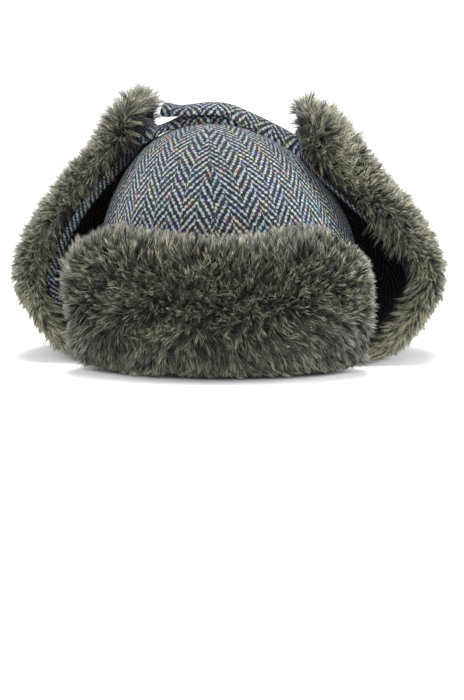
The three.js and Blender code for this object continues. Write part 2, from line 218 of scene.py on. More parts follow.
# Share of pale yarn over the cloth, broken where each pick crosses to the next
def paleLines(tree, place, slub):
    cloth = tweedCloth
    split = nodeAt(tree, "ShaderNodeSeparateXYZ")
    tree.links.new(place, split.inputs[0])
    across, along = split.outputs["X"], split.outputs["Y"]
    shift = mathNode(tree, "SUBTRACT", noiseNode(tree, place, cloth["wobble"]), 0.5)
    along = mathNode(tree, "ADD", along, mathNode(tree, "MULTIPLY", shift, cloth["wobbleReach"] * mm))

    width = cloth["column"] * mm
    zigzag = mathNode(tree, "MULTIPLY", mathNode(tree, "PINGPONG", across, width), cloth["slope"])
    column = mathNode(tree, "FLOOR", mathNode(tree, "DIVIDE", across, width))
    turned = mathNode(tree, "MULTIPLY", mathNode(tree, "FLOORED_MODULO", column, 2.0), 0.5)
    picks = mathNode(tree, "DIVIDE", along, cloth["pick"] * mm)
    withinPick = mathNode(tree, "SUBTRACT", mathNode(tree, "FRACT", picks), 0.5)
    held = mathNode(tree, "MULTIPLY", withinPick, cloth["stepped"] * cloth["pick"] * mm)
    stepped = mathNode(tree, "SUBTRACT", mathNode(tree, "ADD", along, zigzag), held)
    line = mathNode(tree, "DIVIDE", stepped, cloth["pitch"] * mm)
    line = mathNode(tree, "PINGPONG", mathNode(tree, "ADD", line, turned), 0.5)

    lift = mathNode(tree, "MULTIPLY", mathNode(tree, "SUBTRACT", slub, 0.5), cloth["slubLift"])
    pale = softMask(tree, mathNode(tree, "ADD", line, lift), *cloth["paleFrom"])
    crossing = softMask(tree, mathNode(tree, "ABSOLUTE", withinPick), *cloth["crossingSpan"])
    left = mathNode(tree, "SUBTRACT", 1.0, mathNode(tree, "MULTIPLY", crossing, cloth["crossing"]))
    return mathNode(tree, "MULTIPLY", pale, left)


# Pale and dark yarn, with short lengths dyed in other colours, more in the pale yarn than in the dark
def yarnColours(tree, place, slub):
    cloth = tweedCloth
    lengths = nodeAt(tree, "ShaderNodeTexVoronoi")
    lengths.inputs["Scale"].default_value = cloth["dye"]
    tree.links.new(place, lengths.inputs["Vector"])
    chance = nodeAt(tree, "ShaderNodeSeparateColor")
    tree.links.new(lengths.outputs["Color"], chance.inputs[0])
    dye = rampNode(tree, chance.outputs["Red"], cloth["dyes"], "CONSTANT")
    isDyed = mathNode(tree, "GREATER_THAN", chance.outputs["Green"], cloth["undyed"])
    yarns = []
    for kind in ("pale", "dark"):
        yarn = mixColour(tree, softMask(tree, slub, *cloth[kind + "Slub"]), *cloth[kind + "Yarn"])
        share = mathNode(tree, "MULTIPLY", isDyed, cloth[kind + "Dye"])
        yarns.append(mixColour(tree, share, yarn, dye))
    return yarns


def makeWeaveGroup():
    tree = bpy.data.node_groups.new("herringboneWeave", "ShaderNodeTree")
    tree.interface.new_socket("Cloth Place", in_out="INPUT", socket_type="NodeSocketVector")
    tree.interface.new_socket("Colour", in_out="OUTPUT", socket_type="NodeSocketColor")
    tree.interface.new_socket("Height", in_out="OUTPUT", socket_type="NodeSocketFloat")
    place = nodeAt(tree, "NodeGroupInput").outputs["Cloth Place"]
    slub = noiseNode(tree, place, tweedCloth["slub"], tweedCloth["slubDetail"], tweedCloth["slubRough"])
    pale = paleLines(tree, place, slub)
    paleYarn, darkYarn = yarnColours(tree, place, slub)
    fuzz = mathNode(tree, "MULTIPLY", noiseNode(tree, place, tweedCloth["fuzz"]), tweedCloth["fuzzLift"])
    out = nodeAt(tree, "NodeGroupOutput")
    tree.links.new(mixColour(tree, pale, darkYarn, paleYarn), out.inputs["Colour"])
    tree.links.new(mathNode(tree, "ADD", pale, fuzz), out.inputs["Height"])
    return tree


weaveGroup = makeWeaveGroup()


def makeTweed():
    material, tree, shader = newMaterial("herringboneTweed", tweedCloth["roughness"], tweedCloth["sheen"])
    shader.inputs["Sheen Tint"].default_value = tweedCloth["sheenTint"]
    place = nodeAt(tree, "ShaderNodeUVMap", uv_map="weave")
    weave = nodeAt(tree, "ShaderNodeGroup", node_tree=weaveGroup)
    tree.links.new(place.outputs["UV"], weave.inputs["Cloth Place"])
    # Painted shade: how far the cloth is darkened, 1 where it faces the crown
    paintedShade = nodeAt(tree, "ShaderNodeAttribute", attribute_name="paintedShade")
    shade = mixColour(tree, paintedShade.outputs["Fac"], (1, 1, 1, 1), tweedCloth["paintedShadeTone"])
    colour = mixColour(tree, 1.0, weave.outputs["Colour"], shade, "MULTIPLY")
    tree.links.new(colour, shader.inputs["Base Color"])
    bumpInto(tree, shader, weave.outputs["Height"], tweedCloth["bump"], tweedCloth["bumpDepth"] * mm)
    return material


# Hair colours from root to tip, and how a strand's own tint darkens or lightens them
# The near-black roots are partly the fur's own colour and partly painted shade deep in the pile
hairFinish = dict(
    roughness=0.5, sheen=0.15,
    length=[(0.0, srgb(9, 9, 7)), (0.4, srgb(33, 33, 27)), (0.75, srgb(108, 106, 91)),
            (1.0, srgb(226, 223, 200))],
    tint=[(0.0, srgb(64, 62, 56)), (0.5, srgb(180, 179, 170)), (1.0, srgb(255, 255, 246))],
)


def makeHair():
    material, tree, shader = newMaterial("furHair", hairFinish["roughness"], hairFinish["sheen"])
    place = nodeAt(tree, "ShaderNodeUVMap", uv_map="OFBake")
    split = nodeAt(tree, "ShaderNodeSeparateXYZ")
    tree.links.new(place.outputs["UV"], split.inputs[0])
    shade = rampNode(tree, split.outputs["Y"], hairFinish["length"])
    tint = rampNode(tree, split.outputs["X"], hairFinish["tint"])
    tree.links.new(mixColour(tree, 1.0, shade, tint, "MULTIPLY"), shader.inputs["Base Color"])
    return material


# Finishes that change in patches: noise scale per metre, depth of the bumps in millimetres
# The underlayer's near-black is painted shade deep in the pile, over the fur's own dark root colour
underfurFinish = dict(
    roughness=0.9, sheen=0.1, metallic=0, patch=260, detail=4, bump=0.8, bumpDepth=2,
    shades=[(0.3, srgb(9, 9, 8)), (0.7, srgb(30, 29, 25))],
)
snapFinish = dict(
    roughness=0.35, sheen=0, metallic=1, patch=900, detail=2, bump=0.2, bumpDepth=0.1,
    shades=[(0.3, srgb(120, 116, 110)), (0.7, srgb(170, 168, 162))],
)


def makePatchy(name, finish):
    material, tree, shader = newMaterial(name, finish["roughness"], finish["sheen"])
    shader.inputs["Metallic"].default_value = finish["metallic"]
    place = nodeAt(tree, "ShaderNodeTexCoord").outputs["Object"]
    patch = noiseNode(tree, place, finish["patch"], finish["detail"])
    tree.links.new(rampNode(tree, patch, finish["shades"]), shader.inputs["Base Color"])
    bumpInto(tree, shader, patch, finish["bump"], finish["bumpDepth"] * mm)
    return material


tweed = makeTweed()
hair = makeHair()
underfur = makePatchy("furUnderlayer", underfurFinish)
snapMetal = makePatchy("snapMetal", snapFinish)
print("materials made")


def vertsIn(geom):
    return [item for item in geom if isinstance(item, bmesh.types.BMVert)]


def linkPiece(name, mesh, material):
    mesh.materials.append(material)
    piece = bpy.data.objects.new(name, mesh)
    bpy.context.collection.objects.link(piece)
    return piece


# A flat slab, one unit square and one unit thick, bent to a piece: faceAt gives the points of its inner or
# outer side, clothAt the place of each point on the flat cloth, bindingAt that place on the turned edge,
# and the shade function how far painted shade darkens the cloth
def bentSlab(name, cells, faceAt, clothAt, material, smoothing=1, paintedShadeAt=None, bindingAt=None):
    bm = bmesh.new()
    weave = bm.loops.layers.uv.new("weave")
    bmesh.ops.create_grid(bm, x_segments=cells[0], y_segments=cells[1], size=0.5,
                          matrix=Matrix.Translation((0.5, 0.5, 0)))
    raised = bmesh.ops.extrude_face_region(bm, geom=bm.faces[:], use_keep_orig=True)
    bmesh.ops.translate(bm, verts=vertsIn(raised["geom"]), vec=(0, 0, 1))
    bmesh.ops.recalc_face_normals(bm, faces=bm.faces)
    u, v, height = np.array([vert.co for vert in bm.verts]).T
    outside = height > 0.5
    points = np.where(outside[:, None], faceAt(u, v, True), faceAt(u, v, False))
    cloth = clothAt(u, v)
    binding = bindingAt(u, v, outside) if bindingAt else cloth
    bm.verts.index_update()
    for face in bm.faces:
        face.smooth = True
        isEdge = len({bool(outside[vert.index]) for vert in face.verts}) == 2
        for loop in face.loops:
            loop[weave].uv = (binding if isEdge else cloth)[loop.vert.index]
    # Painted shade, kept on each point for the tweed to darken by
    if paintedShadeAt:
        paintedShade = bm.verts.layers.float.new("paintedShade")
        for vert, share in zip(bm.verts, paintedShadeAt(u, v, outside)):
            vert[paintedShade] = share
    for vert, point in zip(bm.verts, points + hatBase):
        vert.co = point
    bmesh.ops.recalc_face_normals(bm, faces=bm.faces)
    mesh = bpy.data.meshes.new(name)
    bm.to_mesh(mesh)
    bm.free()
    piece = linkPiece(name, mesh, material)
    if smoothing:
        rounding = piece.modifiers.new("rounding", "SUBSURF")
        rounding.levels = rounding.render_levels = smoothing
    return piece


# Cloth places on a grid of points: distance along each row from its middle, and along the middle column
def clothGrid(pointAt, cells):
    us, vs = (np.linspace(0, 1, count + 1) for count in cells)
    gridU, gridV = np.meshgrid(us, vs, indexing="ij")
    points = pointAt(gridU.ravel(), gridV.ravel()).reshape(cells[0] + 1, cells[1] + 1, 3)
    steps = np.linalg.norm(np.diff(points, axis=0), axis=2)
    across = np.concatenate([np.zeros((1, cells[1] + 1)), np.cumsum(steps, axis=0)])
    middle = cells[0] // 2
    across = across - across[middle]
    rise = np.linalg.norm(np.diff(points[middle], axis=0), axis=1)
    along = np.concatenate([[0], np.cumsum(rise)])

    def placeOf(u, v):
        i, j = np.rint(u * cells[0]).astype(int), np.rint(v * cells[1]).astype(int)
        return np.stack([across[i, j], along[j]], axis=1)
    return placeOf, float(np.ptp(across, axis=0).max()), float(along[-1])


def finishPiece(piece, slot, *nodes):
    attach(piece, "root")
    if nodes:
        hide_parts(*nodes)


# Crown

def crownLean(up):
    share = np.clip((up - crown["widestUp"]) / (crown["topUp"] - crown["widestUp"]), 0, 1)
    return -crown["lean"] * share * share


# Half width, half depth and height of the crown, and how far its dome still reaches out
def crownSection(climb, inset):
    side = np.clip(climb / crown["sideShare"], 0, 1)
    dome = np.clip((climb - crown["sideShare"]) / (1 - crown["sideShare"]), 0, 1) * math.pi / 2
    swell, reach = np.sin(side * math.pi / 2), np.cos(dome)
    halfWidth = (lerp(crown["rimHalfWidth"], crown["widestHalfWidth"], swell) - inset) * reach
    halfDepth = (lerp(crown["rimHalfDepth"], crown["widestHalfDepth"], swell) - inset) * reach
    wallUp = lerp(crown["rimUp"], crown["widestUp"], side)
    return halfWidth, halfDepth, wallUp + (crown["topUp"] - inset - crown["widestUp"]) * np.sin(dome), reach


# Shift of a gore along its middle line that leaves half the gap at each of its seams
def goreShift(start, end):
    sizes = np.array([crown["widestHalfWidth"], crown["widestHalfDepth"]])
    seams = [unit(np.array([math.sin(turn), -math.cos(turn)]) * sizes) for turn in (start, end)]
    middle = unit(seams[0] + seams[1])
    return middle * crown["seamGap"] / math.sqrt(1 - float(middle @ seams[0]) ** 2)


def makeGore(gore, seed):
    start, end = math.radians(gore["start"]), math.radians(gore["start"] + crown["goreTurn"])
    shift = goreShift(start, end)

    def pointAt(u, v, inset=0.0):
        turn = lerp(start, end, (1 - np.cos(u * math.pi)) / 2)
        halfWidth, halfDepth, up, reach = crownSection(v, inset)
        around = np.hypot(np.cos(turn) * halfWidth, np.sin(turn) * halfDepth)
        toSeam = np.minimum(turn - start, end - turn) * around
        ripple = crown["ripple"] * waves(u, v, seed, crown["rippleCycles"])
        ripple = ripple * np.sin(u * math.pi) * np.sin(v * math.pi)
        dip = inset - ripple + crown["seamDip"] * np.exp(-(toSeam / crown["seamWidth"]) ** 2) * reach
        halfWidth, halfDepth, _, _ = crownSection(v, dip)
        x, y = shift[0] + np.sin(turn) * halfWidth, shift[1] - np.cos(turn) * halfDepth
        return np.stack([crownLean(up) + gore["side"] * x, y, up], axis=1) * mm

    placeOf, width, length = clothGrid(pointAt, crown["cells"])
    cut = np.array(crown["cutStep"]) * seed  # each gore is cut from another place of the cloth
    piece = bentSlab(
        "tweed_" + gore["name"], crown["cells"],
        lambda u, v, outside: pointAt(u, v, 0.0 if outside else crown["wall"]),
        lambda u, v: placeOf(u, v) + cut, tweed)
    finishPiece(piece, "tweed", gore["name"])


for order, gore in enumerate(gores):
    makeGore(gore, crown["seed"] + order)
print("crown sewn")


# Turned-up cloth, in millimetres and in degrees from the middle of the front. Its sections, from the rim
# upwards, are half width, half depth and height.
turnUp = dict(clear=2.3, start=8, rollOut=0.2)  # rollOut is the share of an edge's roll on the outside
rimSection = (crown["rimHalfWidth"] + turnUp["clear"], crown["rimHalfDepth"] + turnUp["clear"],
              turnUp["start"])
flap = dict(
    frontRim=60, frontTip=74, middle=90, earEnd=102, neckStart=150, back=180, corner=0.1, cornerSpan=0.14,
    length=250, droop=7, frontSpan=0.22, curlEase=8, wall=2, cells=(34, 28), edgeWidth=7, cutShare=0.75,
    ear=[rimSection, (107, 112, 17), (129, 114, 41), (137, 114, 63), (124, 113, 92), (104, 109, 120),
         (81, 103, 145), (57, 96, 168)],
    neck=[rimSection, (104, 121, 14), (112, 129, 32), (114, 131, 48), (111, 128, 68), (104, 122, 84),
          (97, 116, 96)],
)
visor = dict(
    endRim=52, endTop=44, length=220, corner=0.16, cornerSpan=0.2, sag=0.08, sagWidth=0.24, wall=2,
    cells=(34, 18), edgeRoll=1, edgeWidth=5, cutShare=0.85,
    paintedShadeEdge=(6, 18), paintedShadeClimb=(-2, -1),  # no painted shade from height
    profile=[rimSection, (112, 116, 16), (127, 121, 42), (128, 120, 68), (124, 116, 89)],
)
# How each ear's cloth is pulled, where painted shade darkens it, and how its fur swells and fans out, in
# degrees
ears = [
    dict(hand="left", side=1, seed=41, drop=6, tuck=9, curl=19, curlClimb=(0.3, 0.8), edgeRoll=3,
         paintedShadeEdge=(-20, 4), paintedShadeClimb=(0.58, 0.7),
         lowFan=(45, 115), fan=(45, 115), tipFan=(0, 45), tipSpan=(0.6, 0.78), cornerFan=(0, 45),
         topFan=(-5, 85), topTrim=0.56, tipComb=5, puff=0.55, puffSpan=(0.68, 0.95)),
    dict(hand="right", side=-1, seed=52, drop=0, tuck=0, curl=7, curlClimb=(0.05, 0.4), edgeRoll=9,
         paintedShadeEdge=(8, 20), paintedShadeClimb=(0.95, 0.74),  # from high to low, so painted shade above and none below
         lowFan=(28, 99), fan=(31, 100), tipFan=(20, 100), tipSpan=(0.86, 0.97), cornerFan=(0, 110),
         topFan=(0, 80), topTrim=0.48, tipComb=10, puff=0.58, puffSpan=(0.8, 1.02)),
]


# Smooth line through the sections, as a table of its points and their share of its length
def profileTable(rows, steps=60):
    knots = np.array(rows, float) * mm
    knots = np.vstack([2 * knots[0] - knots[1], knots, 2 * knots[-1] - knots[-2]])
    share = np.linspace(0, 1, steps, endpoint=False)[:, None]
    line = []
    for before, start, end, after in zip(knots, knots[1:], knots[2:], knots[3:]):
        leave, arrive = (end - before) / 2, (after - start) / 2
        line.append(start + leave * share + (3 * (end - start) - 2 * leave - arrive) * share ** 2
                    + (2 * (start - end) + leave + arrive) * share ** 3)
    line = np.vstack(line + [knots[-2:-1]])
    run = np.concatenate([[0], np.cumsum(np.linalg.norm(np.diff(line, axis=0), axis=1))])
    return dict(line=line, climb=run / run[-1], length=run[-1],
                first=unit(line[1] - line[0]), last=unit(line[-1] - line[-2]))


def sectionAt(table, climb):
    held = np.clip(climb, 0, 1)
    point = np.stack([np.interp(held, table["climb"], table["line"][:, k]) for k in range(3)], axis=1)
    past = (climb - held)[:, None] * table["length"]
    return point + np.where(past < 0, table["first"], table["last"]) * past


earTable = profileTable(flap["ear"])
neckTable = profileTable(flap["neck"])
visorTable = profileTable(visor["profile"])


def onOval(section, turn):
    turn = np.radians(turn)
    return np.stack([section[:, 0] * np.sin(turn), -section[:, 1] * np.cos(turn), section[:, 2]], axis=1)


def cornerTop(distance, loss):
    return 1 - loss * (1 - np.clip(distance, 0, 1)) ** 2


def earShare(turn):
    return 1 - smoothstep(turn, flap["earEnd"], flap["neckStart"])


# A flap's surface: u from its front edge to the back seam, v from the rim to the top
def flapSurface(ear):
    def surface(u, v):
        climb = v * cornerTop(u / flap["cornerSpan"], flap["corner"])
        front = lerp(flap["frontRim"], flap["frontTip"], climb * (2 - climb))
        turn = lerp(front, flap["back"], u)
        share = earShare(turn)
        frontShare = (1 - np.clip(u / flap["frontSpan"], 0, 1)) ** 2
        section = lerp(sectionAt(neckTable, climb), sectionAt(earTable, climb), share[:, None])
        section[:, 0] -= ear["tuck"] * mm * share * climb ** 2
        curl = ear["curl"] * mm * frontShare * smoothstep(climb, *ear["curlClimb"])
        section[:, 0] -= curl * (1 - climb ** flap["curlEase"])
        section[:, 2] -= (ear["drop"] * share + flap["droop"] * frontShare) * mm * climb ** 2
        return onOval(section, turn) * (ear["side"], 1, 1)
    return surface


def visorSurface(u, v):
    climb = v * cornerTop(np.minimum(u, 1 - u) / visor["cornerSpan"], visor["corner"])
    climb = climb * (1 - visor["sag"] * np.exp(-((u - 0.5) / visor["sagWidth"]) ** 2))
    end = lerp(visor["endRim"], visor["endTop"], climb * (2 - climb))
    return onOval(sectionAt(visorTable, climb), lerp(-end, end, u))


def surfaceSlopes(surface, u, v, step=1e-3):
    return surface(u + step, v) - surface(u - step, v), surface(u, v + step) - surface(u, v - step)


# Point of a surface with its outward, sideways and upward directions
def surfaceFrame(surface, u, v, side):
    across, along = surfaceSlopes(surface, u, v)
    outward = unit(np.cross(across, along)) * side
    return surface(u, v), outward, unit(across), unit(along)


# Distances to the free edges, in millimetres
def flapEdge(u, v):
    return np.minimum(u * flap["length"], (1 - v) * earTable["length"] / mm)


def visorEnds(u):
    return np.minimum(u, 1 - u) * visor["length"]


def visorEdge(u, v):
    return np.minimum(visorEnds(u), (1 - v) * visorTable["length"] / mm)


def makeShell(name, node, surface, side, sizes, trim, edges):
    placeOf, width, length = clothGrid(surface, sizes["cells"])

    def faceAt(u, v, outside):
        point, outward, _, _ = surfaceFrame(surface, u, v, side)
        roll = trim["edgeRoll"] * np.exp(-(edges(u, v) / sizes["edgeWidth"]) ** 2)
        outer, inner = turnUp["rollOut"], 1 - turnUp["rollOut"]
        depth = roll * outer if outside else -sizes["wall"] - roll * inner
        return point + outward * (depth * mm)[:, None]

    # Painted shade: on the inner side it grows away from the free edges, and on both sides it covers a span
    # of heights
    def paintedShadeAt(u, v, outside):
        paintedShadeFacingCrown = smoothstep(edges(u, v), *trim["paintedShadeEdge"]) * ~outside
        return np.maximum(paintedShadeFacingCrown, 1 - smoothstep(v, *trim["paintedShadeClimb"]))

    # The binding shows one column of the weave, cut on the slant
    def bindingAt(u, v, outside):
        run = (u * sizes["length"] * mm + v * length) * tweedCloth["bindingSlant"]
        return np.stack([np.where(outside, *tweedCloth["binding"]) * mm, run], axis=1)

    piece = bentSlab(name, sizes["cells"], faceAt, placeOf, tweed, paintedShadeAt=paintedShadeAt, bindingAt=bindingAt)
    finishPiece(piece, "tweed", node)


for ear in ears:
    makeShell("tweed_flap_" + ear["hand"], "flap_shell_" + ear["hand"], flapSurface(ear), ear["side"],
              flap, ear, flapEdge)
makeShell("tweed_visor", "visor_shell", visorSurface, 1, visor, visor, visorEdge)
print("flaps and visor turned up")


# Straps: stations along the crown as place across it, height over it and tilt, in millimetres and degrees.
# Each strap carries painted shade that changes from its seat to its end.
strapThick = 3.2
snapSeat = dict(x=-13, lift=4.6, tilt=20, room=2.4)
strap = dict(
    y=-12, halfWidth=10, edgeSquare=6, edgeLeft=0.02, seatGap=1.5, seat=(0.87, 0.93, 0.985), cells=(60, 8),
    hem=9, hemThick=1.8, endRound=4,
    hang=[(-46, 2.2), (0, 2.2), (9, 4), (20, 2.4), (40, 4.5)],
    lowerPaintedShade=dict(share=(0.85, 0.05), span=(0.1, 0.42)),
    lower=[(-45, 4.4, 14), (-30, 4.4, 18), (snapSeat["x"], snapSeat["lift"], snapSeat["tilt"]),
           (-2, 4.4, 21), (9, 4.2, 22)],
    upperPaintedShade=dict(share=(0.02, 0.44), span=(0.74, 0.92)),
    upper=[(39, 6.4, 29), (29, 5.6, 31), (17, 6.8, 26), (2, 9.6, 22),
           (snapSeat["x"], snapSeat["lift"] + strapThick + snapSeat["room"], snapSeat["tilt"]),
           (-32, 11.4, 17), (-46, 18, 14)],
)


# Height of the crown's outside over a place, found by halving
def crownUp(x, y, halvings=40):
    low, high = crown["sideShare"], 1.0
    for _ in range(halvings):
        middle = (low + high) / 2
        halfWidth, halfDepth, up, _ = crownSection(middle, 0.0)
        inside = ((x - crownLean(up)) / halfWidth) ** 2 + (y / halfDepth) ** 2 < 1
        low, high = (middle, high) if inside else (low, middle)
    return float(crownSection(low, 0.0)[2])


# A line along a strap from its seat inside the flap's tip, across and depth away from the middle
def strapLine(ear, stations, across, depth):
    surface = flapSurface(ear)
    turnSpan = flap["back"] - flap["frontTip"]
    points = []
    for climb in strap["seat"]:
        halfDepth = sectionAt(earTable, np.array([climb]))[0, 1]
        perLength = 1 / (math.radians(turnSpan) * halfDepth / mm)
        u = (flap["middle"] - flap["frontTip"]) / turnSpan + (strap["y"] + across) * perLength
        point, outward, _, _ = surfaceFrame(surface, np.array([u]), np.array([climb]), ear["side"])
        inside = flap["wall"] + strap["seatGap"] + strapThick / 2 - depth
        points.append((point - outward * inside * mm)[0] / mm)
    for x, lift, tilt in stations:
        tilt = math.radians(tilt)
        up = crownUp(x, strap["y"]) + lift
        points.append((x, strap["y"] + across * math.cos(tilt) - depth * math.sin(tilt),
                       up + across * math.sin(tilt) + depth * math.cos(tilt)))
    return profileTable(points)


def makeStrap(ear, stations, shade):
    cells = strap["cells"]
    places = np.linspace(-1, 1, cells[1] + 1)
    rounding = np.sqrt(np.maximum(1 - np.abs(places) ** strap["edgeSquare"], strap["edgeLeft"]))
    sides = {}
    for outside in (True, False):
        way = 1 if outside else -1
        sides[outside] = [
            strapLine(ear, stations, place * strap["halfWidth"], way * strapThick / 2 * full)
            for place, full in zip(places, rounding)]
    length = sides[True][cells[1] // 2]["length"]

    def faceAt(u, v, outside):
        columns = np.rint(v * cells[1]).astype(int)
        points = np.zeros((len(u), 3))
        for column, table in enumerate(sides[outside]):
            here = columns == column
            points[here] = sectionAt(table, u[here])
        toEnd = (1 - u) * length / mm
        fold = np.exp(-(toEnd / strap["hem"]) ** 4)
        fold *= np.sqrt(1 - (1 - np.clip(toEnd / strap["endRound"], 0, 1)) ** 2)
        points[:, 2] += (1 if outside else -1) * strap["hemThick"] * mm * fold * rounding[columns]
        hang = np.interp(points[:, 0] / mm, *zip(*strap["hang"]))
        points[:, 2] -= hang * mm * np.maximum(-places[columns], 0) ** 2
        return points

    # The straps are cut across the cloth
    def clothAt(u, v):
        return np.stack([u * length, (v - 0.5) * 2 * strap["halfWidth"] * mm], axis=1)

    # Painted shade along the strap, from the share at its seat to the share at its end
    def strapPaintedShadeAt(u, v, outside):
        return lerp(*shade["share"], smoothstep(u, *shade["span"]))

    piece = bentSlab("tweed_strap_" + ear["hand"], cells, faceAt, clothAt, tweed, paintedShadeAt=strapPaintedShadeAt)
    finishPiece(piece, "tweed", "strap_" + ear["hand"])


makeStrap(ears[0], strap["upper"], strap["upperPaintedShade"])
makeStrap(ears[1], strap["lower"], strap["lowerPaintedShade"])
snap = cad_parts["strap_snap"]
snap.data.materials.clear()
snap.data.materials.append(snapMetal)
print("straps laid over the crown")


# Fur: a dark underlayer with strands over it. Lengths in millimetres, angles in degrees from upright,
# sideways and towards the top. At the edges the pile rounds down to the share edgePile of its depth.
fur = dict(floor=0.5, floorSoft=7, edgeRound=16, edgePile=0.45, topMost=1.2)
# tint: the flaps' fur is set paler than the visor's, painted light and shade for how light falls on each
# part
flapFur = dict(
    pile=19, frontHair=0.9, tipTrim=0.05, tipTrimSpan=(0.93, 1.02), lean=(-45, -8), leanSpan=(0.05, 0.6),
    tipCombSpan=(0.6, 0.9), topReach=10, fanReach=16, fanSpan=(0.3, 0.5), cornerSpan=(0.06, 0.16),
    tint=0.34, spread=0.58, earStrands=27000, neckStrands=12000,
)
visorFur = dict(
    pile=23, parting=0.66, partingDepth=0.22, partingWidth=0.1, cornerTrim=0.3, cornerEnd=(0.78, 0.92),
    cornerClimb=(0.65, 0.95), lean=(-62, 26), leanBelow=0.4, leanAbove=0.2, topReach=16, topLean=50,
    topEnd=(0.8, 0.92), fan=(10, 70), fanReach=26, sweep=38, sweepEnd=(0.4, 0.75), sweepClimb=(0.5, 0.7),
    seed=61, tint=0.08, spread=0.46, strands=19000,
)


def roundOver(distance, left):
    inward = 1 - np.clip(distance / fur["edgeRound"], 0, 1)
    return lerp(left, 1, np.sqrt(1 - inward ** 2))


def flapEarShare(u):
    return earShare(lerp(flap["frontRim"], flap["back"], u))


def flapLength(u):
    return lerp(neckTable["length"], earTable["length"], flapEarShare(u)) / mm


def flapPile(ear):
    def pileAt(u, v, isHair=False):
        tip = smoothstep(v, *ear["puffSpan"]) * flapEarShare(u)
        trim = 1 - flapFur["tipTrim"] * smoothstep(v, *flapFur["tipTrimSpan"])
        pile = flapFur["pile"] * (1 + ear["puff"] * tip) * trim
        front = roundOver(u * flap["length"], flapFur["frontHair"] if isHair else fur["edgePile"])
        return pile * front * roundOver(v * flapLength(u), fur["edgePile"])
    return pileAt


# Two angles and a trim of the length for each strand. The pile fans out over the front edge and the top.
def flapComb(ear):
    def comb(u, v, spread):
        lean = lerp(*flapFur["lean"], smoothstep(v, *flapFur["leanSpan"]))
        lean = lean + ear["tipComb"] * smoothstep(v, *flapFur["tipCombSpan"])
        top = np.clip(1 - (1 - v) * flapLength(u) / flapFur["topReach"], 0, fur["topMost"])
        front = np.clip(1 - u * flap["length"] / flapFur["fanReach"], 0, 1)
        low, upper, tip, corner, over = (
            lerp(*ear[key], spread) for key in ("lowFan", "fan", "tipFan", "cornerFan", "topFan"))
        fan = lerp(low, upper, smoothstep(v, *flapFur["fanSpan"]))
        fan = lerp(fan, tip, smoothstep(v, *ear["tipSpan"]))
        over = lerp(corner, over, smoothstep(u, *flapFur["cornerSpan"]))
        return -fan * front, lean + over * top, 1 - ear["topTrim"] * np.clip(top, 0, 1) * spread
    return comb


def visorPile(u, v, isHair=False):
    length = visorTable["length"] / mm
    parting = np.exp(-((v - visorFur["parting"]) / visorFur["partingWidth"]) ** 2)
    # The corner at the viewer's right lies lower
    lowCorner = smoothstep(u, *visorFur["cornerEnd"]) * smoothstep(v, *visorFur["cornerClimb"])
    pile = visorFur["pile"] * (1 - visorFur["partingDepth"] * parting)
    pile = pile * (1 - visorFur["cornerTrim"] * lowCorner)
    free = np.minimum(visorEnds(u), np.maximum(1 - v, 0) * length)
    return pile * roundOver(free, fur["edgePile"]) * roundOver(v * length, fur["edgePile"])


# The pile parts along a line, leans up above it and down below, and fans out at both ends
def visorComb(u, v, spread):
    length = visorTable["length"] / mm
    parting = visorFur["parting"]
    above = smoothstep(v, parting - visorFur["leanBelow"], parting + visorFur["leanAbove"])
    lean = lerp(*visorFur["lean"], above)
    top = np.clip(1 - (1 - v) * length / visorFur["topReach"], 0, fur["topMost"])
    top = top * (1 - smoothstep(u, *visorFur["topEnd"]))
    end = np.clip(1 - visorEnds(u) / visorFur["fanReach"], 0, 1) * np.sign(u - 0.5)
    sweep = visorFur["sweep"] * smoothstep(u, *visorFur["sweepEnd"])
    sweep = sweep * (1 - smoothstep(v, *visorFur["sweepClimb"]))
    return lerp(*visorFur["fan"], spread) * end + sweep, lean + visorFur["topLean"] * top, 1


coats = [
    dict(name="visor", node="visor_fur", surface=visorSurface, side=1, pile=visorPile, comb=visorComb,
         length=lambda u: np.full_like(u, visorTable["length"] / mm), toSide=visorEnds,
         toEdge=lambda u, v: visorEnds(u),
         seed=visorFur["seed"], tint=visorFur["tint"], spread=visorFur["spread"],
         locks=[dict(name="right_half", us=(0, 0.5), count=visorFur["strands"]),
                dict(name="left_half", us=(0.5, 1), count=visorFur["strands"])]),
]
for ear in ears:
    coats.append(dict(
        name="flap_" + ear["hand"], node="flap_fur_" + ear["hand"], surface=flapSurface(ear),
        side=ear["side"], pile=flapPile(ear), comb=flapComb(ear),
        length=flapLength, toSide=lambda u: u * flap["length"],
        toEdge=lambda u, v: np.minimum(u * flap["length"], (1 - v) * flapLength(u)),
        seed=ear["seed"], tint=flapFur["tint"], spread=flapFur["spread"],
        locks=[dict(name="ear", us=(0, 0.5), count=flapFur["earStrands"]),
               dict(name="neck", us=(0.5, 1), count=flapFur["neckStrands"])]))

# The underlayer has a share of the pile's depth, and thins towards the edges
underlayer = dict(share=0.5, cells=(44, 26), thinSpan=(-3, 20), innerClear=0.3, outerClear=0.6)


def makeUnderlayer(coat):
    def faceAt(u, v, outside):
        point, outward, _, _ = surfaceFrame(coat["surface"], u, v, coat["side"])
        if outside:
            thin = smoothstep(coat["toEdge"](u, v), *underlayer["thinSpan"])
            height = underlayer["outerClear"] + underlayer["share"] * coat["pile"](u, v) * thin
        else:
            height = np.full_like(u, underlayer["innerClear"])
        point = point + outward * (height * mm)[:, None]
        point[:, 2] = np.maximum(point[:, 2], fur["floor"] * mm - hatBase[2])
        return point

    piece = bentSlab("fur_under_" + coat["name"], underlayer["cells"], faceAt,
                     lambda u, v: np.stack([u, v], axis=1), underfur, smoothing=0)
    finishPiece(piece, "fur", coat["node"])


